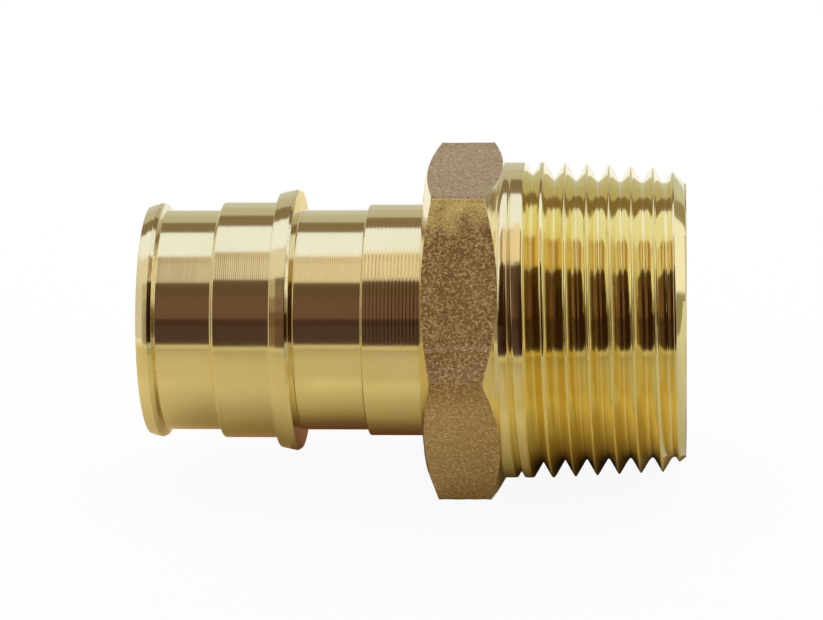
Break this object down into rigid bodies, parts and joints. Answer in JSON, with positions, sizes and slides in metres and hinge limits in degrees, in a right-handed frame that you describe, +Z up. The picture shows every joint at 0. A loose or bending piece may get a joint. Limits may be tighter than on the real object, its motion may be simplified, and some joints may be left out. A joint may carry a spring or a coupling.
{
  "type": "pex male adapter",
  "caption": "Brass water pipe adapter: barbed insert for expanded plastic tube, wrench hexagon and male taper pipe thread, bored through.",
  "frame": {"origin": "on the bore's axis, in the plane of the hexagon's face that the tube stops against", "axes": "+X along the bore toward the threaded end, +Z up with one flat of the hexagon facing down, -Z"},
  "size_m": [0.0449, 0.0304, 0.0266],
  "materials": {
    "brass": "turned, with rough forged flats on the hexagon"
  },
  "bodies": {
    "root": {"adapter_body": "brass"}
  },
  "joints": []
}
